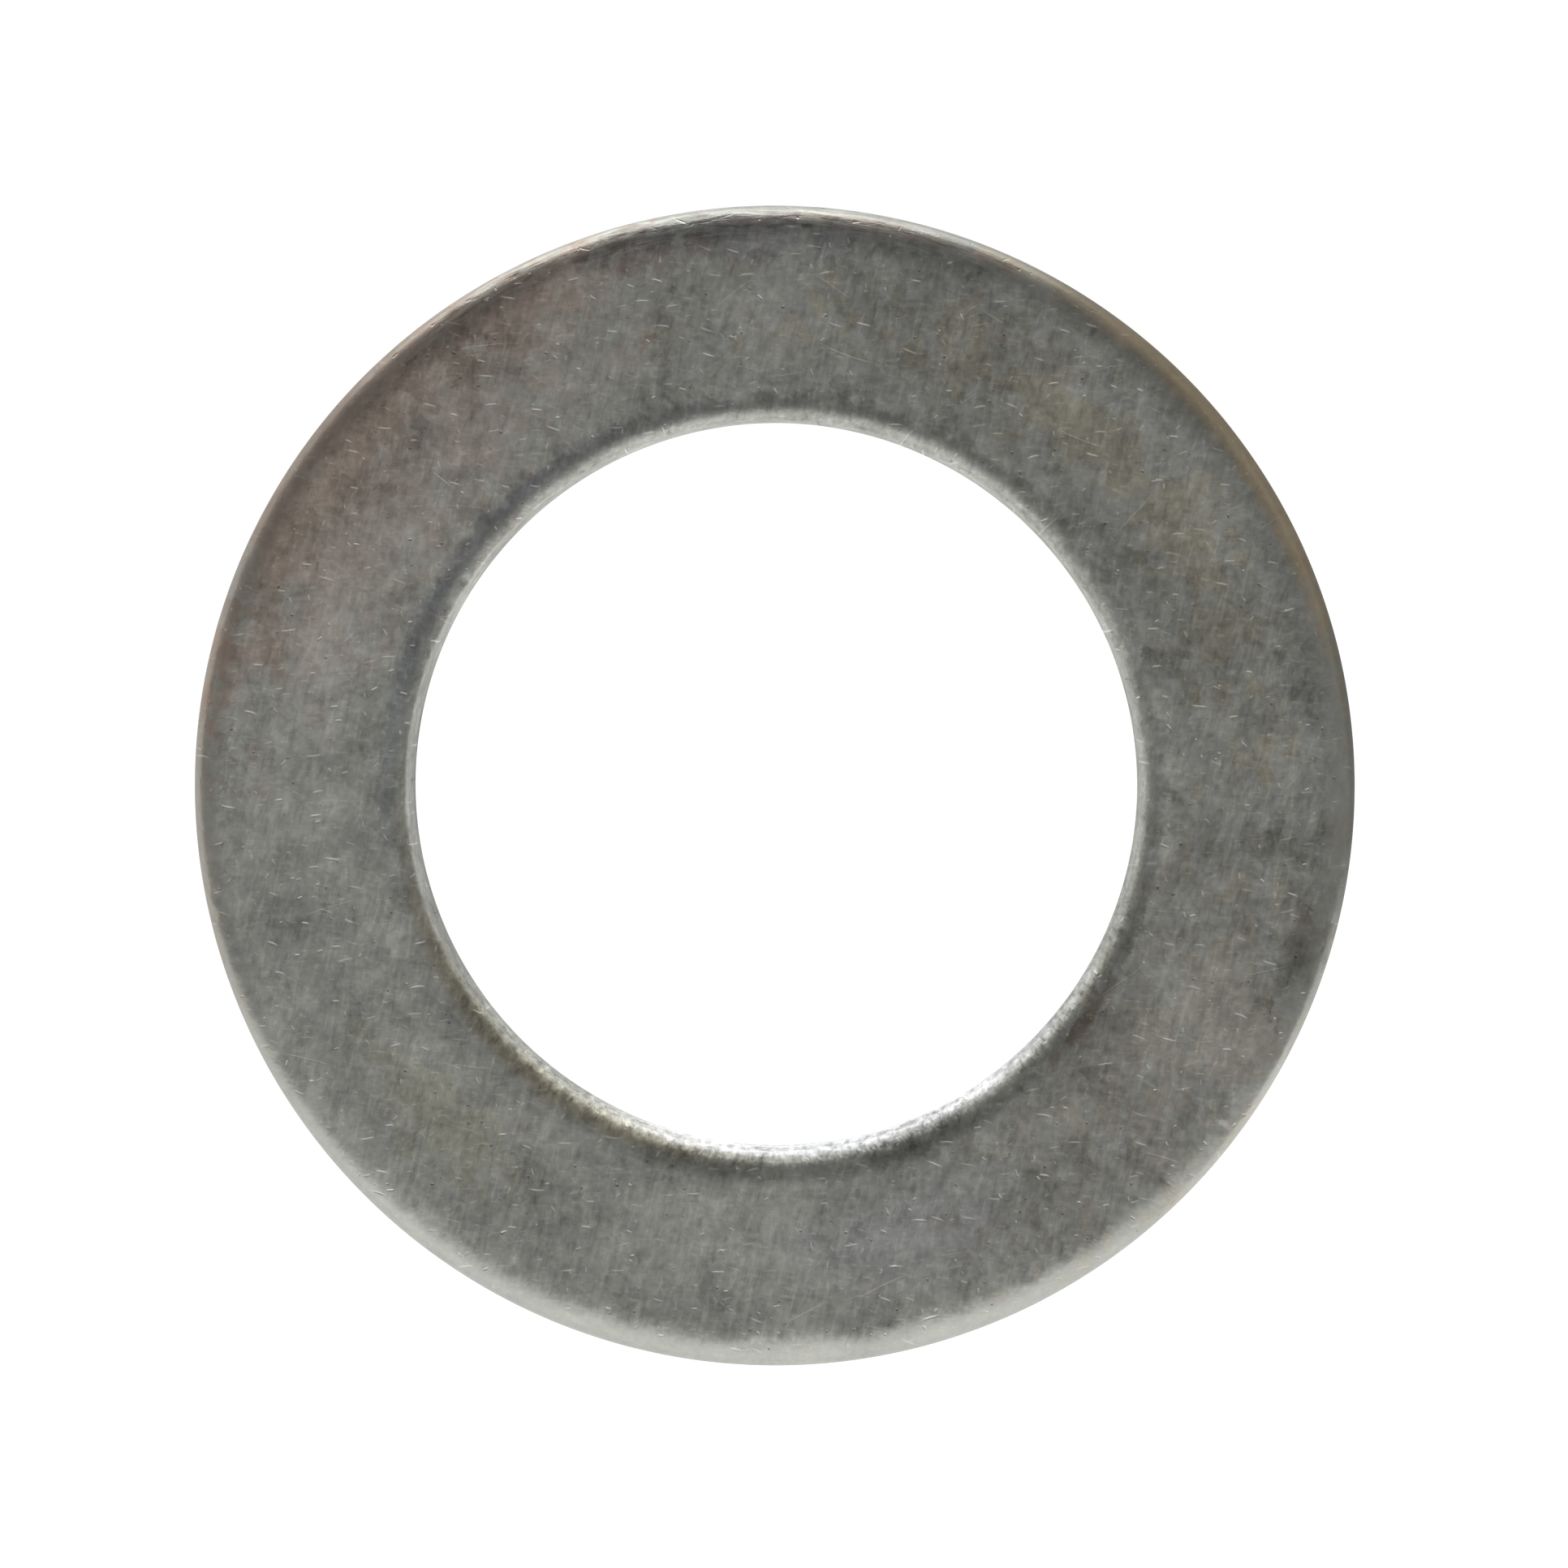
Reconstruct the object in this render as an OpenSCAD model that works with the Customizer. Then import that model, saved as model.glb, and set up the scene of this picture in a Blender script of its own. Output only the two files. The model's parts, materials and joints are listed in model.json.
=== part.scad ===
// Flat washer for an M14 screw, small series: one ring of plated steel strip.
// The hole is pierced upwards, then the ring is blanked out of the strip downwards,
// so the rim is rolled over at the upper face and the bore at the lower face.
// The origin is the centre of the lower face, and +Z is the axis of the bore.

/* [Size] */
// Outside diameter
outer_d = 24; // [22:0.5:30]
// Diameter of the bore, across its burnished band
bore_d = 15; // [10:0.5:17]
// Thickness, face to face
thickness = 2.5; // [2:0.1:4]

/* [Rim] */
// Width of the rolled-over edge, measured in along the upper face
rim_roll_w = 0.85; // [0.3:0.05:1.2]
// Depth of the rolled-over edge, measured down from the upper face
rim_roll_h = 0.55; // [0.2:0.05:0.7]
// Height of the burnished band below the rolled-over edge
rim_band_h = 0.8; // [0.2:0.05:0.9]
// How far the torn band draws in, below the burnished band
rim_tear = 0.08; // [0.01:0.01:0.15]
// Radius that tumbling leaves on the lower edge
rim_edge_r = 0.2; // [0.05:0.05:0.3]

/* [Bore] */
// Width of the rolled-over edge, measured out along the lower face
bore_roll_w = 0.6; // [0.3:0.05:1]
// Depth of the rolled-over edge, measured up from the lower face
bore_roll_h = 0.4; // [0.2:0.05:0.6]
// Height of the burnished band above the rolled-over edge
bore_band_h = 1; // [0.2:0.05:1]
// How far the torn band opens out, above the burnished band
bore_tear = 0.06; // [0.01:0.01:0.15]
// Width of the worn upper edge, measured out along the upper face
bore_edge_w = 0.5; // [0.05:0.05:0.6]
// Depth of the worn upper edge, measured down from the upper face
bore_edge_h = 0.4; // [0.05:0.05:0.4]

/* [Hidden] */

outer_r = outer_d / 2;
bore_r = bore_d / 2;
// Straight steps along each rounded edge, and around the ring
edge_steps = 10;
ring_steps = 180;

// A quarter of an ellipse about a centre, turning clockwise from the angle start
function quarter_round(centre, w, h, start) = [
    for (i = [0:edge_steps])
        let (a = start - 90 * i / edge_steps)
            centre + [w * cos(a), h * sin(a)]
];

// The section of the ring: up the bore, across the upper face, and down the rim
function ring_section() = concat(
    quarter_round([bore_r + bore_roll_w, bore_roll_h], bore_roll_w, bore_roll_h, 270),
    [[bore_r, bore_roll_h + bore_band_h]],
    quarter_round([bore_r + bore_tear + bore_edge_w, thickness - bore_edge_h],
                  bore_edge_w, bore_edge_h, 180),
    quarter_round([outer_r - rim_roll_w, thickness - rim_roll_h], rim_roll_w, rim_roll_h, 90),
    [[outer_r, thickness - rim_roll_h - rim_band_h]],
    quarter_round([outer_r - rim_tear - rim_edge_r, rim_edge_r], rim_edge_r, rim_edge_r, 0)
);

// The whole washer: the section turned about the axis of the bore
module washer() {
    color("#85857f")
        rotate_extrude($fn = ring_steps)
            polygon(ring_section());
}

washer();
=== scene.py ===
import json
import math

import bpy
from mathutils import Matrix, Vector


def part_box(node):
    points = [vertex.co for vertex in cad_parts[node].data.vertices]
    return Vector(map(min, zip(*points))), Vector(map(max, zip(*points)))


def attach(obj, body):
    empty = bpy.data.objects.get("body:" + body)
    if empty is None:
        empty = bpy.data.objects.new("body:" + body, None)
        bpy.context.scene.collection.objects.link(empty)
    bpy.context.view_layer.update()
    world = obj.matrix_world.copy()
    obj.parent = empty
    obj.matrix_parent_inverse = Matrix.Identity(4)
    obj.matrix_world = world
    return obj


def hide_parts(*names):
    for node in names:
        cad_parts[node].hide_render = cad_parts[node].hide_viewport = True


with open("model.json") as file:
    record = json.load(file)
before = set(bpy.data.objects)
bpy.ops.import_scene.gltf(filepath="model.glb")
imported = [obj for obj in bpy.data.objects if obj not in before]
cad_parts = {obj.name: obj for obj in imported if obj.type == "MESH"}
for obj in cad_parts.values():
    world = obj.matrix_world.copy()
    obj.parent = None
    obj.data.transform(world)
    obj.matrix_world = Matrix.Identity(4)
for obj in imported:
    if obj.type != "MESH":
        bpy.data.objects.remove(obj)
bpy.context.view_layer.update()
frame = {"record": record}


# ---------------------------------------------------------------------------
# The ring
# One stamping of cold-rolled steel strip, tumbled and plated with zinc. The hole is pierced
# upwards and the ring is then blanked downwards, so each wall has a rolled-over edge, a bright
# burnished band and a duller torn band.
# ---------------------------------------------------------------------------

mm = 0.001
low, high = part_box("washer")
bore_mount = next(m for m in frame["record"]["mounts"] if m["name"] == "bore")

# The first twelve are the section's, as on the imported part. The worn edge at the top of the bore
# is narrow on one side of the ring, and the extra is added towards the other
ring_sizes = {
    "Outside radius": (high.x - low.x) / 2,
    "Bore radius": bore_mount["dims"]["r_mm"] * mm,
    "Thickness": high.z - low.z,
    "Rim roll width": 0.85 * mm,
    "Rim roll depth": 0.55 * mm,
    "Rim band height": 0.8 * mm,
    "Rim tear": 0.08 * mm,
    "Rim edge radius": 0.2 * mm,
    "Bore roll width": 0.6 * mm,
    "Bore roll depth": 0.4 * mm,
    "Bore band height": bore_mount["dims"]["length_mm"] * mm,
    "Bore tear": 0.06 * mm,
    "Bore edge width": 0.31 * mm,
    "Bore edge depth": 0.2 * mm,
    "Extra edge width": 0.51 * mm,
    "Extra edge depth": 0.51 * mm,
    "Waviness": 0.003 * mm,
    "Tear roughness": 0.012 * mm,
    "Dent depth": 0.014 * mm,
}


class Nodes:
    """Adds nodes to a tree and wires them up by the names of their sockets."""

    def __init__(self, tree):
        self.tree = tree

    def add(self, kind, inputs=(), **settings):
        node = self.tree.nodes.new(kind)
        for name, value in settings.items():
            setattr(node, name, value)
        for name, value in dict(inputs).items():
            self.feed(node.inputs[name], value)
        return node

    def feed(self, socket, value):
        if isinstance(value, bpy.types.NodeSocket):
            self.tree.links.new(value, socket)
        elif isinstance(value, bpy.types.Node):
            self.tree.links.new(value.outputs[0], socket)
        else:
            socket.default_value = value

    def math(self, operation, *values):
        node = self.add("ShaderNodeMath", operation=operation)
        for socket, value in zip(node.inputs, values):
            self.feed(socket, value)
        return node.outputs[0]

    def vector(self, operation, *values, scale=None):
        node = self.add("ShaderNodeVectorMath", operation=operation)
        for socket, value in zip(node.inputs, values):
            self.feed(socket, value)
        if scale is not None:
            self.feed(node.inputs["Scale"], scale)
        return node.outputs["Value"] if operation in ("LENGTH", "DOT_PRODUCT") else node.outputs[0]

    def ramp(self, value, from_start, from_end, to_start=0.0, to_end=1.0, smooth=True):
        """Runs from to_start to to_end while the value runs from from_start to from_end."""
        node = self.add("ShaderNodeMapRange", interpolation_type="SMOOTHSTEP" if smooth else "LINEAR")
        for socket, limit in zip(node.inputs, (value, from_start, from_end, to_start, to_end)):
            self.feed(socket, limit)
        return node.outputs[0]

    def total(self, terms, start=0.0):
        """The start plus each term times its weight."""
        for term, weight in terms:
            start = self.math("MULTIPLY_ADD", term, weight, start)
        return start

    def facing(self, direction, heading):
        """How far a direction points along a heading, which is in degrees from +X towards +Y."""
        aimed = (math.cos(math.radians(heading)), math.sin(math.radians(heading)), 0.0)
        return self.vector("DOT_PRODUCT", direction, aimed)

    def apart(self, value):
        return self.add("ShaderNodeSeparateXYZ", {"Vector": value}).outputs

    def joined(self, x, y, z=0.0):
        return self.add("ShaderNodeCombineXYZ", {"X": x, "Y": y, "Z": z}).outputs[0]


ring_tree = bpy.data.node_groups.new("stamped_ring", "GeometryNodeTree")
for name, value in ring_sizes.items():
    socket = ring_tree.interface.new_socket(name, in_out="INPUT", socket_type="NodeSocketFloat")
    socket.default_value = value
for name, value in {"Steps around": 1260, "Seed": 7}.items():
    socket = ring_tree.interface.new_socket(name, in_out="INPUT", socket_type="NodeSocketInt")
    socket.default_value = value
ring_tree.interface.new_socket("Finish", in_out="INPUT", socket_type="NodeSocketMaterial")
ring_tree.interface.new_socket("Ring", in_out="OUTPUT", socket_type="NodeSocketGeometry")

# g adds nodes to the ring's tree, and n, further on, to the material or world being made
g = Nodes(ring_tree)
given = g.add("NodeGroupInput").outputs
outer_r = given["Outside radius"]
bore_r = given["Bore radius"]
thick = given["Thickness"]

on_grid = g.apart(g.add("GeometryNodeInputPosition"))
turn = g.math("MULTIPLY", g.math("ADD", on_grid["X"], 0.5), math.tau)

# The bore's upper edge is worn rounder on one side, most of all at this heading from +X
MOST_WORN, NARROWING = math.radians(310), 1.3
off_side = g.math("COSINE", g.math("SUBTRACT", turn, MOST_WORN))
off_side = g.math("POWER", g.math("MULTIPLY_ADD", off_side, 0.5, 0.5), NARROWING)
bore_edge_w = g.math("MULTIPLY_ADD", off_side, given["Extra edge width"], given["Bore edge width"])
bore_edge_h = g.math("MULTIPLY_ADD", off_side, given["Extra edge depth"], given["Bore edge depth"])

# Going once around the ring's section, anticlockwise from the inner end of the lower face.
# A straight stretch travels (right, up); a rounded one turns through a quarter of an ellipse.
bore_roll_end = g.math("ADD", bore_r, given["Bore roll width"])
rim_edge_start = g.math("SUBTRACT", g.math("SUBTRACT", outer_r, given["Rim tear"]), given["Rim edge radius"])
rim_roll_end = g.math("SUBTRACT", outer_r, given["Rim roll width"])
bore_edge_start = g.math("ADD", g.math("ADD", bore_r, given["Bore tear"]), bore_edge_w)


def what_is_left(*taken):
    """The part of the thickness that these heights don't take up."""
    left = thick
    for height in taken:
        left = g.math("SUBTRACT", left, height)
    return left


rim_torn_h = what_is_left(given["Rim roll depth"], given["Rim band height"], given["Rim edge radius"])
bore_torn_h = what_is_left(given["Bore roll depth"], given["Bore band height"], bore_edge_h)

STRAIGHT, ROUND = "straight", "round"
section = [
    # (what it is, steps, kind, right or half width, up or half height, start angle)
    ("lower face", 5, STRAIGHT, g.math("SUBTRACT", rim_edge_start, bore_roll_end), 0.0, None),
    ("rounded", 7, ROUND, given["Rim edge radius"], given["Rim edge radius"], -90),
    ("torn", 5, STRAIGHT, given["Rim tear"], rim_torn_h, None),
    ("burnished", 3, STRAIGHT, 0.0, given["Rim band height"], None),
    ("rounded", 19, ROUND, given["Rim roll width"], given["Rim roll depth"], 0),
    ("upper face", 8, STRAIGHT, g.math("SUBTRACT", bore_edge_start, rim_roll_end), 0.0, None),
    ("rounded", 12, ROUND, bore_edge_w, bore_edge_h, 90),
    ("torn", 5, STRAIGHT, g.math("MULTIPLY", given["Bore tear"], -1.0),
     g.math("MULTIPLY", bore_torn_h, -1.0), None),
    ("burnished", 4, STRAIGHT, 0.0, g.math("MULTIPLY", given["Bore band height"], -1.0), None),
    ("rounded", 11, ROUND, given["Bore roll width"], given["Bore roll depth"], 180),
]
steps_along = sum(stretch[1] for stretch in section)
around = g.math("ADD", given["Steps around"], 1.0)
grid = g.add("GeometryNodeMeshGrid", {
    "Size X": 1.0, "Size Y": 1.0, "Vertices X": around, "Vertices Y": steps_along + 1,
})

step = g.math("MULTIPLY", g.math("ADD", on_grid["Y"], 0.5), float(steps_along))

# Each point's radius and height, and whether it lies in each zone that the finish treats apart
radius, height = bore_roll_end, 0.0
zones = {"torn": 0.0, "burnished": 0.0, "rounded": 0.0}
first = 0
for zone, steps, kind, right, up, start in section:
    share = g.ramp(step, float(first), float(first + steps), smooth=False)
    first += steps
    if kind == STRAIGHT:
        radius = g.math("MULTIPLY_ADD", right, share, radius)
        height = g.math("MULTIPLY_ADD", up, share, height)
    else:
        angle = g.math("MULTIPLY_ADD", share, math.pi / 2, math.radians(start))
        across = g.math("SUBTRACT", g.math("COSINE", angle), math.cos(math.radians(start)))
        rise = g.math("SUBTRACT", g.math("SINE", angle), math.sin(math.radians(start)))
        radius = g.math("MULTIPLY_ADD", right, across, radius)
        height = g.math("MULTIPLY_ADD", up, rise, height)
    if zone in zones:
        within = g.math("MULTIPLY", g.math("GREATER_THAN", share, 0.0001), g.math("LESS_THAN", share, 0.9999))
        zones[zone] = g.math("ADD", zones[zone], within)

# The map for baked colours: six equal arcs of the ring, two across and three up
ARCS_ACROSS, ARCS_UP, ARC_MARGIN = 2, 3, 0.985
flat = g.apart(grid.outputs["UV Map"])
face_turn = g.add("GeometryNodeFieldOnDomain", {"Value": flat["X"]}, domain="FACE").outputs[0]
arc = g.math("FLOOR", g.math("MULTIPLY", face_turn, float(ARCS_ACROSS * ARCS_UP)))
along_arc = g.math("SUBTRACT", g.math("MULTIPLY", flat["X"], float(ARCS_ACROSS * ARCS_UP)), arc)
column = g.math("MODULO", arc, float(ARCS_ACROSS))
row = g.math("FLOOR", g.math("DIVIDE", arc, float(ARCS_ACROSS)))


def in_cell(cell, place, cells):
    """Where a place in a cell, from 0 to 1, falls on the whole map, inside the cell's margin."""
    inset = g.math("MULTIPLY_ADD", place, ARC_MARGIN, (1 - ARC_MARGIN) / 2)
    return g.math("DIVIDE", g.math("ADD", cell, inset), float(cells))


mapped = g.add("GeometryNodeStoreNamedAttribute", {
    "Geometry": grid.outputs["Mesh"],
    "Name": "OFBake",
    "Value": g.joined(in_cell(column, along_arc, ARCS_ACROSS), in_cell(row, flat["Y"], ARCS_UP)),
}, data_type="FLOAT2", domain="CORNER").outputs[0]
for zone, inside in zones.items():
    mapped = g.add("GeometryNodeStoreNamedAttribute", {
        "Geometry": mapped, "Name": zone, "Value": inside,
    }, data_type="FLOAT", domain="POINT").outputs[0]

bent = g.add("GeometryNodeSetPosition", {
    "Geometry": mapped,
    "Position": g.joined(
        g.math("MULTIPLY", radius, g.math("COSINE", turn)),
        g.math("MULTIPLY", radius, g.math("SINE", turn)),
        height,
    ),
}).outputs[0]
closed = g.add("GeometryNodeMergeByDistance", {"Geometry": bent, "Distance": 0.001 * mm}).outputs[0]

# What the press and the tumbling barrel leave, all of it cut inwards from the true shape:
# slow waves, drag marks down the torn bands, and small dents along the rounded edges
in_mm = g.vector("SCALE", g.add("GeometryNodeInputPosition").outputs[0], scale=1 / mm)
seeded = g.vector("ADD", in_mm, g.joined(given["Seed"], 0.0, 0.0))
waves = g.add("ShaderNodeTexNoise", {"Vector": seeded, "Scale": 0.45, "Detail": 2.0}).outputs[0]
drag_lines = g.vector("MULTIPLY", seeded, (1.0, 1.0, 0.22))
drag = g.add("ShaderNodeTexNoise", {"Vector": drag_lines, "Scale": 5.5, "Detail": 3.0}).outputs[0]
dent_cells = g.add("ShaderNodeTexVoronoi", {"Vector": seeded, "Scale": 1.6, "Randomness": 1.0})
chosen = g.math("GREATER_THAN", g.apart(dent_cells.outputs["Color"])["X"], 0.45)
dent = g.ramp(dent_cells.outputs["Distance"], 0.34, 0.05)


def stored(name):
    return g.add("GeometryNodeInputNamedAttribute", {"Name": name}, data_type="FLOAT").outputs["Attribute"]


cut = g.math("MULTIPLY", waves, given["Waviness"])
cut = g.math("MULTIPLY_ADD", g.math("MULTIPLY", drag, stored("torn")), given["Tear roughness"], cut)
dents = g.math("MULTIPLY", g.math("MULTIPLY", dent, chosen), stored("rounded"))
cut = g.math("MULTIPLY_ADD", dents, given["Dent depth"], cut)
inwards = g.vector("SCALE", g.add("GeometryNodeInputNormal").outputs[0], scale=g.math("MULTIPLY", cut, -1.0))
worn = g.add("GeometryNodeSetPosition", {"Geometry": closed, "Offset": inwards}).outputs[0]

smooth = g.add("GeometryNodeSetShadeSmooth", {"Geometry": worn, "Shade Smooth": True}).outputs[0]
real = g.add("GeometryNodeRealizeInstances", {"Geometry": smooth}).outputs[0]
finished = g.add("GeometryNodeSetMaterial", {"Geometry": real, "Material": given["Finish"]}).outputs[0]
g.add("NodeGroupOutput", {"Ring": finished})


# The ring's finish is bright zinc: grain near +Y from the rolls that made the strip, faint brown,
# straw and blue clouds of passivation, and the glints, nicks, hairlines and pits that a barrel full
# of other washers leaves. The glints, nicks and hairlines are scratches lightened in the colour as
# painted highlights, and a few clouds on the face are painted light and shade
def shader_group(name, inputs, outputs):
    """A new shader node group with these named inputs and outputs, and a builder for its nodes."""
    tree = bpy.data.node_groups.new(name, "ShaderNodeTree")
    for label, value in inputs.items():
        kind = "NodeSocketVector" if isinstance(value, tuple) else "NodeSocketFloat"
        socket = tree.interface.new_socket(label, in_out="INPUT", socket_type=kind)
        socket.default_value = value
    for label in outputs:
        tree.interface.new_socket(label, in_out="OUTPUT", socket_type="NodeSocketFloat")
    n = Nodes(tree)
    return tree, n, n.add("NodeGroupInput").outputs


# Strokes: noise drawn out along one heading, so that it reads as fine brushing
stroke_group, n, given = shader_group(
    "strokes",
    {"Place": (0.0, 0.0, 0.0), "Across per mm": 12.0, "Draw": 5.0, "Heading": 1.5, "Seed": 0.0},
    ["Fac"],
)
cosine, sine = n.math("COSINE", given["Heading"]), n.math("SINE", given["Heading"])
xyz = n.apart(given["Place"])
along = n.math("ADD", n.math("MULTIPLY", xyz["X"], cosine), n.math("MULTIPLY", xyz["Y"], sine))
beside = n.math("SUBTRACT", n.math("MULTIPLY", xyz["Y"], cosine), n.math("MULTIPLY", xyz["X"], sine))
drawn = n.joined(n.math("DIVIDE", along, given["Draw"]), beside, n.math("ADD", xyz["Z"], given["Seed"]))
noise = n.add("ShaderNodeTexNoise", {
    "Vector": drawn, "Scale": given["Across per mm"], "Detail": 2.0, "Roughness": 0.6, "Distortion": 0.25,
})
n.add("NodeGroupOutput", {"Fac": noise.outputs["Fac"]})

# Scuffs: one short curved stroke in some of the cells of a Voronoi pattern
scuff_group, n, given = shader_group(
    "scuffs",
    {"Place": (0.0, 0.0, 0.0), "Per mm": 1.2, "Share": 0.5, "Half length": 0.15, "Half width": 0.02,
     "Heading": 0.0, "Spread": 0.5, "Curl": 0.4, "Seed": 0.0},
    ["Strength"],
)
moved = n.vector("ADD", given["Place"], n.joined(given["Seed"], given["Seed"], 0.0))
cell = n.add("ShaderNodeTexVoronoi", {"Vector": moved, "Scale": given["Per mm"], "Randomness": 0.9},
             voronoi_dimensions="2D")
chance = n.apart(cell.outputs["Color"])
off = n.apart(n.vector("SUBTRACT", moved, cell.outputs["Position"]))
swing = n.math("MULTIPLY", n.math("SUBTRACT", chance["X"], 0.5), given["Spread"])
heading = n.math("ADD", given["Heading"], swing)
cosine, sine = n.math("COSINE", heading), n.math("SINE", heading)
along = n.math("ADD", n.math("MULTIPLY", off["X"], cosine), n.math("MULTIPLY", off["Y"], sine))
beside = n.math("SUBTRACT", n.math("MULTIPLY", off["Y"], cosine), n.math("MULTIPLY", off["X"], sine))
curl = n.math("MULTIPLY", n.math("SUBTRACT", chance["Z"], 0.5), given["Curl"])
beside = n.math("SUBTRACT", beside, n.math("MULTIPLY", n.math("MULTIPLY", along, along), curl))
length = n.math("MULTIPLY", given["Half length"], n.math("MULTIPLY_ADD", chance["Y"], 0.8, 0.2))
ends = n.ramp(n.math("ABSOLUTE", along), length, n.math("MULTIPLY", length, 0.3))
flanks = n.ramp(n.math("ABSOLUTE", beside), given["Half width"], 0.0)
lot = n.math("FRACT", n.math("MULTIPLY", n.math("ADD", chance["X"], chance["Y"]), 7.31))
kept = n.math("LESS_THAN", lot, given["Share"])
stroke = n.math("MULTIPLY", n.math("MULTIPLY", ends, flanks), kept)
depth = n.math("FRACT", n.math("MULTIPLY", lot, 23.7))
depth = n.math("MULTIPLY_ADD", n.math("POWER", depth, 2.0), 0.85, 0.15)
n.add("NodeGroupOutput", {"Strength": n.math("MULTIPLY", stroke, depth)})

# Facets: small patches with ragged borders, each reflecting a little more or less than the next
facet_group, n, given = shader_group(
    "facets",
    {"Place": (0.0, 0.0, 0.0), "Per mm": 5.0, "Draw": (1.0, 1.6, 1.0), "Ragged": 0.06, "Seed": 0.0},
    ["Fac"],
)
seeded = n.vector("ADD", given["Place"], n.joined(given["Seed"], given["Seed"], 0.0))
warp = n.add("ShaderNodeTexNoise", {"Vector": seeded, "Scale": 9.0, "Detail": 1.0})
warp = n.vector("SUBTRACT", warp.outputs["Color"], (0.5, 0.5, 0.5))
warped = n.vector("ADD", seeded, n.vector("SCALE", warp, scale=given["Ragged"]))
cell = n.add("ShaderNodeTexVoronoi", {
    "Vector": n.vector("DIVIDE", warped, given["Draw"]), "Scale": given["Per mm"], "Randomness": 1.0,
})
n.add("NodeGroupOutput", {"Fac": n.apart(cell.outputs["Color"])["X"]})

# Stain: a ragged patch of colour in the plating, lying along an arc of the ring
stain_group, n, given = shader_group(
    "stain",
    {"Place": (0.0, 0.0, 0.0), "Ragged": 0.0, "Heading": 0.0, "Radius": 10.0, "Half arc": 3.0,
     "Half width": 1.0},
    ["Mask"],
)
flat_place = n.vector("MULTIPLY", given["Place"], (1.0, 1.0, 0.0))
centre = n.joined(n.math("COSINE", given["Heading"]), n.math("SINE", given["Heading"]), 0.0)
nearness = n.vector("DOT_PRODUCT", n.vector("NORMALIZE", flat_place), centre)
along = n.math("MULTIPLY", n.math("ARCCOSINE", n.math("MINIMUM", nearness, 1.0)), given["Radius"])
along = n.math("DIVIDE", along, given["Half arc"])
beside = n.math("SUBTRACT", n.vector("LENGTH", flat_place), given["Radius"])
beside = n.math("DIVIDE", beside, given["Half width"])
share = n.math("ADD", n.vector("LENGTH", n.joined(along, beside, 0.0)), given["Ragged"])
n.add("NodeGroupOutput", {"Mask": n.ramp(share, 1.2, 0.3)})

# The zinc itself
zinc = bpy.data.materials.new("zinc_plated_steel")
zinc.use_nodes = True
zinc.node_tree.nodes.clear()
n = Nodes(zinc.node_tree)


def placed(group, **inputs):
    """One use of a shader group in the zinc, with its inputs by name."""
    node = zinc.node_tree.nodes.new("ShaderNodeGroup")
    node.node_tree = group
    for label, value in inputs.items():
        n.feed(node.inputs[label.replace("_", " ")], value)
    return node.outputs


def attribute(name):
    return n.add("ShaderNodeAttribute", attribute_name=name, attribute_type="GEOMETRY").outputs["Fac"]


place_mm = n.vector("SCALE", n.add("ShaderNodeTexCoord").outputs["Object"], scale=1 / mm)
torn, burnished, rounded = attribute("torn"), attribute("burnished"), attribute("rounded")
flat_mm = n.vector("MULTIPLY", place_mm, (1.0, 1.0, 0.0))
from_axis = n.vector("LENGTH", flat_mm)
height_mm = n.apart(place_mm)["Z"]
bearing = n.vector("NORMALIZE", flat_mm)

# Mottling: the same strength at every size from a few hundredths of a millimetre upwards
mottle = n.add("ShaderNodeTexNoise", {
    "Vector": place_mm, "Scale": 1.2, "Detail": 3.0, "Roughness": 0.9, "Distortion": 0.2,
}).outputs["Fac"]
clouds = n.add("ShaderNodeTexNoise", {
    "Vector": n.vector("ADD", place_mm, (31.0, 4.0, 0.0)), "Scale": 0.3, "Detail": 1.0, "Roughness": 0.6,
}).outputs["Fac"]
patches = placed(facet_group, Place=place_mm, Per_mm=4.2, Draw=(1.0, 1.6, 1.0), Ragged=0.16, Seed=2.0)["Fac"]
flecks = placed(facet_group, Place=place_mm, Per_mm=7.5, Draw=(1.7, 1.0, 1.0), Ragged=0.1, Seed=8.0)["Fac"]
upright = placed(stroke_group, Place=place_mm, Across_per_mm=9.0, Draw=4.5, Heading=1.32, Seed=5.0)["Fac"]
level = placed(stroke_group, Place=place_mm, Across_per_mm=14.0, Draw=4.0, Heading=-0.06, Seed=9.0)["Fac"]

# Scratches of three sizes, and pits. The scratches are real wear, and further on they also lighten the colour
# as painted glints
glints = placed(scuff_group, Place=place_mm, Per_mm=1.9, Share=0.65, Half_length=0.21, Half_width=0.032,
                Heading=-0.05, Spread=0.7, Curl=1.2, Seed=3.0)
glinting_nicks = placed(scuff_group, Place=place_mm, Per_mm=2.6, Share=0.5, Half_length=0.1, Half_width=0.03,
               Heading=1.3, Spread=2.5, Curl=0.0, Seed=11.0)
glinting_hairs = placed(scuff_group, Place=place_mm, Per_mm=0.62, Share=0.9, Half_length=0.8, Half_width=0.024,
               Heading=0.1, Spread=1.6, Curl=0.25, Seed=23.0)
pits = placed(scuff_group, Place=place_mm, Per_mm=2.1, Share=0.4, Half_length=0.05, Half_width=0.035,
              Heading=0.4, Spread=3.0, Curl=0.0, Seed=31.0)

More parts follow.
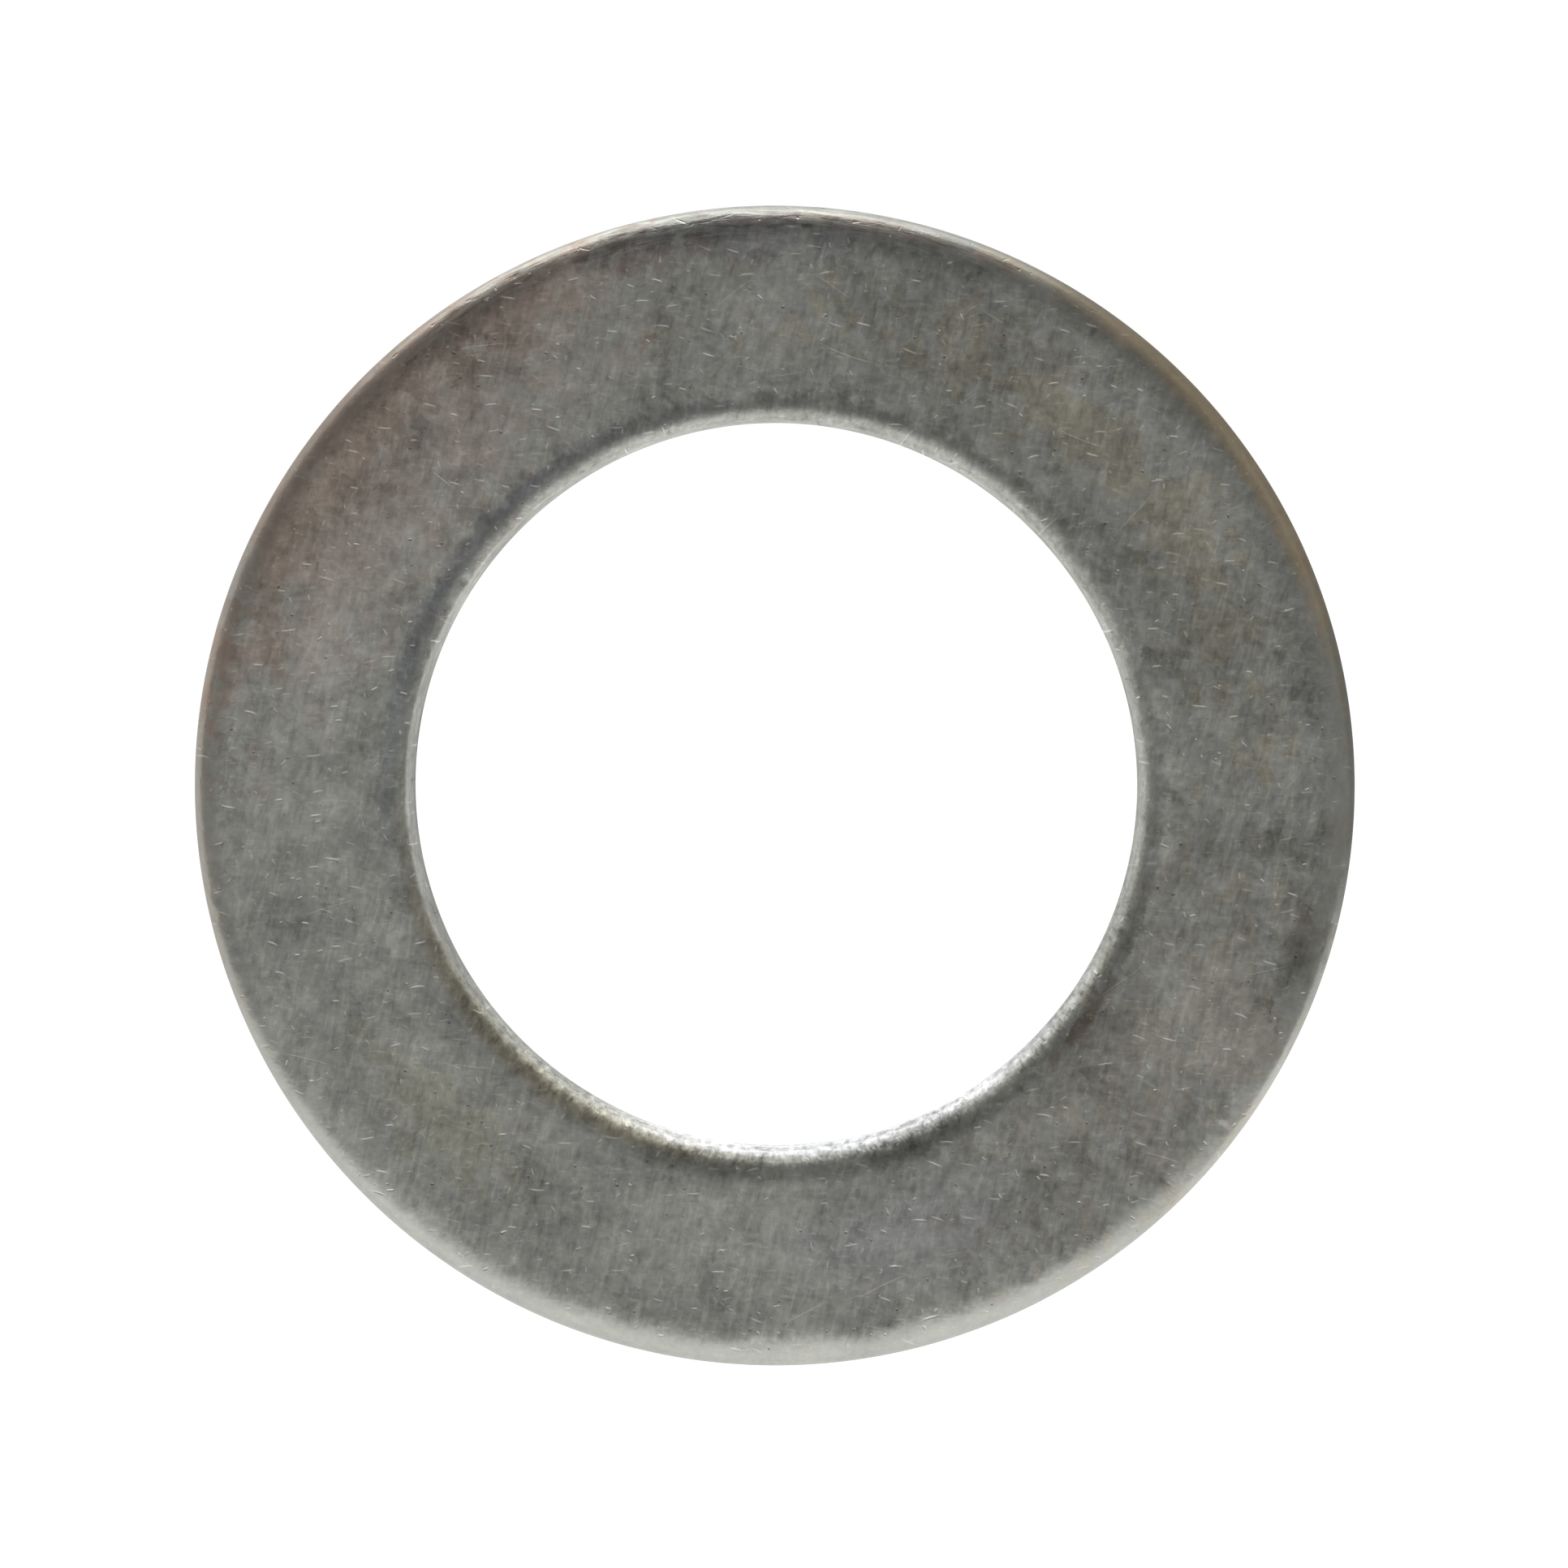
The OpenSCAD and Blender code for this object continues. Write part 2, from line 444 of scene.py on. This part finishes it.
# Around the ring: drag marks across the bore's edge, and streaks along the rim. Their noise is
# laid out on a circle by bearing, and drawn out along the ring's section
around_bore_edge = n.math("ADD", from_axis, height_mm)
marks_place = n.vector("SCALE", bearing, scale=7.6)
marks_place = n.vector("ADD", marks_place, n.joined(0.0, 0.0, n.math("MULTIPLY", around_bore_edge, 0.25)))
marks = n.add("ShaderNodeTexNoise", {
    "Vector": marks_place, "Scale": 7.0, "Detail": 2.0, "Roughness": 0.65, "Distortion": 0.2,
}).outputs["Fac"]
by_bore = n.ramp(from_axis, 8.05, 7.7)
scraped = n.math("MULTIPLY", by_bore, n.ramp(n.facing(bearing, 280), 0.1, 0.8, 0.1, 1.0))
around_rim_edge = n.math("SUBTRACT", from_axis, height_mm)
streaks_place = n.vector("SCALE", bearing, scale=4.0)
streaks_place = n.vector("ADD", streaks_place, n.joined(0.0, 0.0, n.math("MULTIPLY", around_rim_edge, 2.2)))
streaks = n.add("ShaderNodeTexNoise", {
    "Vector": streaks_place, "Scale": 3.0, "Detail": 3.0, "Roughness": 0.7, "Distortion": 0.3,
}).outputs["Fac"]
uneven = n.math("SUBTRACT", mottle, 0.5)
struck = placed(stain_group, Place=place_mm, Ragged=uneven, Heading=math.radians(97),
                Radius=11.75, Half_arc=9.0, Half_width=0.45)["Mask"]
marks_where_scraped = n.math("MULTIPLY", n.math("SUBTRACT", marks, 0.5), scraped)
streaks_where_struck = n.math("MULTIPLY", n.math("SUBTRACT", streaks, 0.5), struck)

# What lightens and darkens the zinc, each with its weight. The rim, burnished by rolling, is the
# most even, so there it counts for less
lightness = n.total([
    (uneven, 1.3),
    (n.math("SUBTRACT", clouds, 0.5), 0.9),
    (n.math("SUBTRACT", patches, 0.5), 0.16),
    (n.math("SUBTRACT", flecks, 0.5), 0.12),
    (n.ramp(upright, 0.5, 0.72), 0.2),
    (n.ramp(upright, 0.46, 0.28), -0.16),
    (n.ramp(level, 0.56, 0.75), 0.25),
    # The glints, nicks and hairlines lighten the colour: a painted highlight standing in for the light the
    # scratches catch
    (glints["Strength"], 1.3),
    (glinting_nicks["Strength"], 0.9),
    (glinting_hairs["Strength"], 0.45),
    (pits["Strength"], -0.6),
])
on_rim = n.ramp(from_axis, 11.3, 11.75)
lightness = n.math("MULTIPLY_ADD", lightness, n.math("MULTIPLY_ADD", on_rim, -0.7, 1.0), 1.0)
lightness = n.total([(marks_where_scraped, 2.0), (streaks_where_struck, 2.0)], lightness)

# A dark ragged collar beside the bore's worn edge, on all but its front
ragged = n.math("MULTIPLY", uneven, 0.9)
from_bore = n.math("ADD", n.math("SUBTRACT", from_axis, ring_sizes["Bore radius"] / mm), ragged)
collar = n.math("MULTIPLY", n.ramp(from_bore, 0.2, 0.42), n.ramp(from_bore, 0.8, 0.45))
collar = n.math("MULTIPLY", collar, n.math("GREATER_THAN", height_mm, 1.5))
collar = n.math("MULTIPLY", collar, n.ramp(n.facing(bearing, 65), -0.6, 0.2))
lightness = n.math("MULTIPLY", lightness, n.math("MULTIPLY_ADD", collar, -0.27, 1.0))
bare_zinc = (0.605, 0.612, 0.56)
colour = n.vector("SCALE", bare_zinc, scale=lightness)

# The passivation's colours, the lighter, duller and bruised areas, painted light on the left and
# lower side of the face, and painted shade behind the top of the rim. Each is a cloud along an arc:
# its heading in degrees, its radius, half arc and half width in mm, its tint, and how ragged its
# border is
clouds_of_tint = [
    ("russet", 139, 11.1, 7.6, 3.6, (1.07, 0.96, 0.925), 1.1),
    ("russet by the rim", 138, 11.4, 7.4, 1.1, (0.93, 0.85, 0.815), 1.5),
    ("russet on the rim", 181, 12.0, 5.2, 0.55, (1.05, 0.985, 0.955), 1.0),
    ("straw across the middle", 46, 9.8, 7.0, 0.9, (1.065, 1.0, 0.895), 2.5),
    ("amber on the rim", 36, 11.88, 6.8, 0.34, (1.3, 1.07, 0.83), 0.7),
    ("brown on the rim", 80, 11.74, 3.6, 0.18, (1.08, 0.97, 0.94), 1.0),
    ("straw on the bore edge", 227, 7.78, 6.5, 0.26, (1.07, 1.0, 0.86), 0.6),
    ("olive", 225, 9.65, 2.7, 1.0, (1.0, 0.99, 0.905), 1.5),
    ("brown flecks", 325, 10.2, 4.2, 2.2, (1.035, 0.99, 0.945), 4.0),
    ("blue", 288, 9.7, 2.8, 1.3, (1.0, 1.0, 1.05), 1.5),
    ("blue by the bore", 150, 7.97, 7.5, 0.26, (0.82, 0.85, 0.92), 0.8),
    # Partly a blue tint, partly painted shade: it darkens the band behind the rim's highlight at the top
    ("painted shade and blue by the rim", 93, 11.4, 3.2, 0.45, (0.84, 0.84, 0.9), 2.5),
    # A bluer tint on the front of the bore wall, where it shows its bright band
    ("bluer on the bore wall", 285, 7.5, 6.5, 0.3, (1.0, 1.0, 1.1), 0.3),
    # The next three are painted light: the face made lighter on its left and lower side, as the lamps light
    # it
    ("painted light on the left", 210, 8.9, 4.6, 0.9, (1.2, 1.2, 1.2), 1.5),
    ("painted light above it", 168, 9.3, 4.2, 1.0, (1.1, 1.1, 1.1), 1.5),
    ("painted light below", 264, 9.7, 3.4, 1.3, (1.09, 1.09, 1.09), 1.5),
    ("bright on the right", 18, 10.4, 8.0, 0.8, (1.1, 1.1, 1.1), 1.0),
    ("bright line", 2, 10.6, 5.0, 0.2, (1.12, 1.12, 1.12), 1.0),
    ("dull by the bore", 52, 8.5, 7.0, 1.1, (0.89, 0.89, 0.89), 1.0),
    ("dull below it", 328, 8.4, 2.8, 0.7, (0.84, 0.84, 0.84), 1.5),
    ("bruise", 342, 11.5, 1.4, 0.45, (0.72, 0.71, 0.69), 1.5),
    ("speck", 322, 8.05, 0.9, 0.16, (0.95, 0.86, 0.83), 2.5),
]
drift = n.add("ShaderNodeTexNoise", {
    "Vector": place_mm, "Scale": 0.9, "Detail": 2.0, "Roughness": 0.6, "Distortion": 0.4,
}).outputs["Fac"]
drift = n.math("MULTIPLY_ADD", n.math("SUBTRACT", patches, 0.5), 0.35, n.math("SUBTRACT", drift, 0.5))
for name, heading, radius, half_arc, half_width, tint, raggedness in clouds_of_tint:
    mask = placed(stain_group, Place=place_mm, Ragged=n.math("MULTIPLY", drift, raggedness),
                  Heading=math.radians(heading), Radius=radius, Half_arc=half_arc,
                  Half_width=half_width)["Mask"]
    tinted = n.add("ShaderNodeMix", {"Factor": mask}, data_type="VECTOR", label=name)
    # On a Mix node set to vectors, sockets 4 and 5 are A and B, and output 1 is the result
    n.feed(tinted.inputs[4], (1.0, 1.0, 1.0))
    n.feed(tinted.inputs[5], tint)
    colour = n.vector("MULTIPLY", colour, tinted.outputs[1])

# How far each of them stands out from the surface, in mm
relief = n.total([
    (mottle, 0.012),
    (upright, 0.0022),
    (level, 0.0015),
    (glints["Strength"], -0.006),
    (glinting_nicks["Strength"], -0.008),
    (glinting_hairs["Strength"], -0.003),
    (pits["Strength"], -0.01),
    (n.math("MULTIPLY", marks, scraped), 0.03),
    (n.math("MULTIPLY", streaks, struck), 0.012),
])
bump = n.add("ShaderNodeBump", {"Height": relief, "Strength": 1.0, "Distance": mm})

# Satin zinc, rougher where the metal tore and by the bore, smoother where the die rubbed it
SATIN = 0.33
rougher = [(uneven, 0.3), (torn, 0.08), (burnished, -0.12), (rounded, -0.04), (by_bore, 0.1)]
roughness = n.total(rougher, SATIN)

metal = n.add("ShaderNodeBsdfPrincipled", {
    "Base Color": colour, "Metallic": 1.0, "Roughness": roughness, "Normal": bump.outputs[0],
})
n.add("ShaderNodeOutputMaterial", {"Surface": metal.outputs[0]})

# The tree is run once, and its result is kept as a plain mesh
ring_maker = bpy.data.objects.new("ring_maker", bpy.data.meshes.new("ring_maker"))
bpy.context.scene.collection.objects.link(ring_maker)
stamping = ring_maker.modifiers.new("stamping", "NODES")
stamping.node_group = ring_tree
for item in ring_tree.interface.items_tree:
    if item.name in ring_sizes:
        stamping[item.identifier] = ring_sizes[item.name]
    if item.name == "Finish":
        stamping[item.identifier] = zinc

depsgraph = bpy.context.evaluated_depsgraph_get()
ring_mesh = bpy.data.meshes.new_from_object(
    ring_maker.evaluated_get(depsgraph), preserve_all_data_layers=True, depsgraph=depsgraph
)
ring_mesh.name = "ring"
bpy.data.objects.remove(ring_maker)
ring = bpy.data.objects.new("ring", ring_mesh)
bpy.context.scene.collection.objects.link(ring)

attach(ring, "root")
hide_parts("washer")


# ---------------------------------------------------------------------------
# The studio
# Not part of the washer: a pale table inside a soft tent, with one lamp overhead and one low
# strip behind. The table and the tent are white to the camera, and the washer's polished edges
# see them lighter in front and behind than at the sides.
# ---------------------------------------------------------------------------

scene = bpy.context.scene
scene.view_settings.view_transform = "Standard"
scene.view_settings.look = "None"

floor_mesh = bpy.data.meshes.new("floor")
edge = 2.0
corners = [(-edge, -edge, 0), (edge, -edge, 0), (edge, edge, 0), (-edge, edge, 0)]
floor_mesh.from_pydata(corners, [], [(0, 1, 2, 3)])
floor = bpy.data.objects.new("floor", floor_mesh)
scene.collection.objects.link(floor)
paper = bpy.data.materials.new("pale_floor")
paper.use_nodes = True
paper.node_tree.nodes.clear()
n = Nodes(paper.node_tree)
path = n.add("ShaderNodeLightPath").outputs
spot = n.add("ShaderNodeTexCoord").outputs["Object"]
flat_spot = n.vector("MULTIPLY", spot, (1.0, 1.0, 0.0))
reach = n.vector("LENGTH", flat_spot)
spot_bearing = n.vector("NORMALIZE", flat_spot)
to_the_right = n.apart(spot_bearing)["X"]


def lobe(heading, none, full):
    """A glow around one heading: 1 where the cosine of the angle from it reaches full."""
    return n.ramp(n.facing(spot_bearing, heading), none, full)


# The table's glow outside the rim: brightest in front, then behind, and shaded under the edge.
# Reach is the distance from the axis
front_glow = n.math("MULTIPLY_ADD", to_the_right, 0.22, 0.43)
front_glow = n.math("MULTIPLY", lobe(270, 0.0, 0.6), front_glow)
back_glow = n.math("MULTIPLY", lobe(98, 0.72, 1.0), n.ramp(reach, 13 * mm, 20 * mm, 0.45, 1.1))
around_rim = n.math("MULTIPLY_ADD", to_the_right, -0.175, 0.355)
around_rim = n.math("ADD", n.math("ADD", around_rim, front_glow), back_glow)
around_rim = n.math("MULTIPLY_ADD", n.ramp(reach, 12.8 * mm, 12 * mm), -0.12, around_rim)
# Its glow inside the bore: brightest at the front wall, duller at the sides, and shaded close by
in_bore = n.total([(lobe(279, 0.75, 0.96), 0.78), (lobe(188, 0.8, 1.0), -0.24), (lobe(355, 0.8, 1.0), -0.2)])
in_bore = n.math("MULTIPLY", in_bore, n.ramp(reach, 1 * mm, 4 * mm))
in_bore = n.math("ADD", in_bore, n.ramp(reach, 1.5 * mm, 6 * mm, 0.66, 0.82))
in_bore = n.math("MULTIPLY_ADD", n.ramp(reach, 6.8 * mm, 7.5 * mm), -0.3, in_bore)
beyond_bore = n.math("GREATER_THAN", reach, 9.5 * mm)
glow = n.add("ShaderNodeMix", {"Factor": beyond_bore, "A": in_bore, "B": around_rim}).outputs[0]
# The paper shines a little of its own, and a reflected ray sees the glow in its place
matt = n.add("ShaderNodeBsdfDiffuse", {"Color": (0.9, 0.9, 0.9, 1.0)})
lit = n.add("ShaderNodeEmission", {"Color": (1.0, 1.0, 1.0, 1.0), "Strength": 0.85})
both = n.add("ShaderNodeAddShader")
n.feed(both.inputs[0], matt.outputs[0])
n.feed(both.inputs[1], lit.outputs[0])
seen = n.add("ShaderNodeEmission", {"Color": (1.0, 1.0, 1.0, 1.0), "Strength": glow})
either = n.add("ShaderNodeMixShader", {"Fac": path["Is Glossy Ray"]})
n.feed(either.inputs[1], both.outputs[0])
n.feed(either.inputs[2], seen.outputs[0])
n.add("ShaderNodeOutputMaterial", {"Surface": either.outputs[0]})
floor_mesh.materials.append(paper)

world = bpy.data.worlds.new("studio")
scene.world = world
world.use_nodes = True
world.node_tree.nodes.clear()
n = Nodes(world.node_tree)
path = n.add("ShaderNodeLightPath").outputs
# The tent: a wide panel in front, lower towards both its ends, in a dim grey room
ROOM, PANEL = 0.24, 0.6
outwards = n.add("ShaderNodeTexCoord").outputs["Generated"]
way = n.apart(outwards)
ahead = n.facing(outwards, 270.5)
sideways = n.vector("LENGTH", n.joined(way["X"], way["Y"], 0.0))
towards = n.math("DIVIDE", ahead, sideways)
right_end = n.ramp(n.math("DIVIDE", way["X"], sideways), 0.92, 0.55)
panel = n.math("MULTIPLY", n.ramp(towards, 0.0, 0.72), right_end)
taper = n.math("POWER", n.math("MAXIMUM", towards, 0.01), 0.75)
top_edge = n.math("MULTIPLY", n.math("MAXIMUM", ahead, 0.01), taper)
panel = n.math("MULTIPLY", panel, n.ramp(n.math("DIVIDE", way["Z"], top_edge), 2.8, 0.3))
far_side = n.ramp(way["Y"], 0.05, 0.5)
dimmer = n.ramp(way["Z"], 0.1, 0.6, 0.01, -0.09)
soft = n.total([(panel, PANEL), (far_side, dimmer)], ROOM)
strength = n.add("ShaderNodeMix", {"Factor": path["Is Camera Ray"], "A": soft, "B": 1.0}).outputs[0]
backdrop = n.add("ShaderNodeBackground", {"Color": (1.0, 1.0, 1.0, 1.0), "Strength": strength})
n.add("ShaderNodeOutputWorld", {"Surface": backdrop.outputs[0]})

middle = (low + high) / 2


def pointing(heading, elevation):
    """A direction, by degrees from +X towards +Y and degrees above the table."""
    turned, raised = math.radians(heading), math.radians(elevation)
    level = Vector((math.cos(turned), math.sin(turned), 0))
    return level * math.cos(raised) + Vector((0, 0, math.sin(raised)))


def soft_light(name, heading, elevation, distance, width, tall, radiance):
    """A rectangular light facing the washer."""
    lamp = bpy.data.lights.new(name, "AREA")
    lamp.shape = "RECTANGLE"
    lamp.size, lamp.size_y = width, tall
    lamp.energy = radiance * math.pi * width * tall
    holder = bpy.data.objects.new(name, lamp)
    away = pointing(heading, elevation)
    holder.location = middle + away * distance
    holder.rotation_euler = away.to_track_quat("Z", "Y").to_euler()
    holder.visible_camera = False
    scene.collection.objects.link(holder)


soft_light("overhead", heading=220, elevation=65, distance=0.15, width=0.10, tall=0.10, radiance=0.10)
soft_light("back_strip", heading=94, elevation=4, distance=0.25, width=0.16, tall=0.045, radiance=1.0)

# The camera looks down almost along the axis, from slightly right of it and behind it
camera_data = bpy.data.cameras.new("camera")
camera = bpy.data.objects.new("camera", camera_data)
scene.collection.objects.link(camera)
scene.camera = camera
camera_distance, seen_width = 300 * mm, 32.42 * mm
aim = Vector((0.204 * mm, 0.044 * mm, high.z - 0.55 * mm))
backwards = pointing(43, 87.95)
camera.location = aim + backwards * camera_distance
rightwards = Vector((0, 1, 0)).cross(backwards).normalized()
upwards = backwards.cross(rightwards)
camera.rotation_euler = Matrix((rightwards, upwards, backwards)).transposed().to_euler()
camera_data.sensor_width = 36
camera_data.lens = camera_data.sensor_width * camera_distance / seen_width
camera_data.clip_start, camera_data.clip_end = 0.01, 10
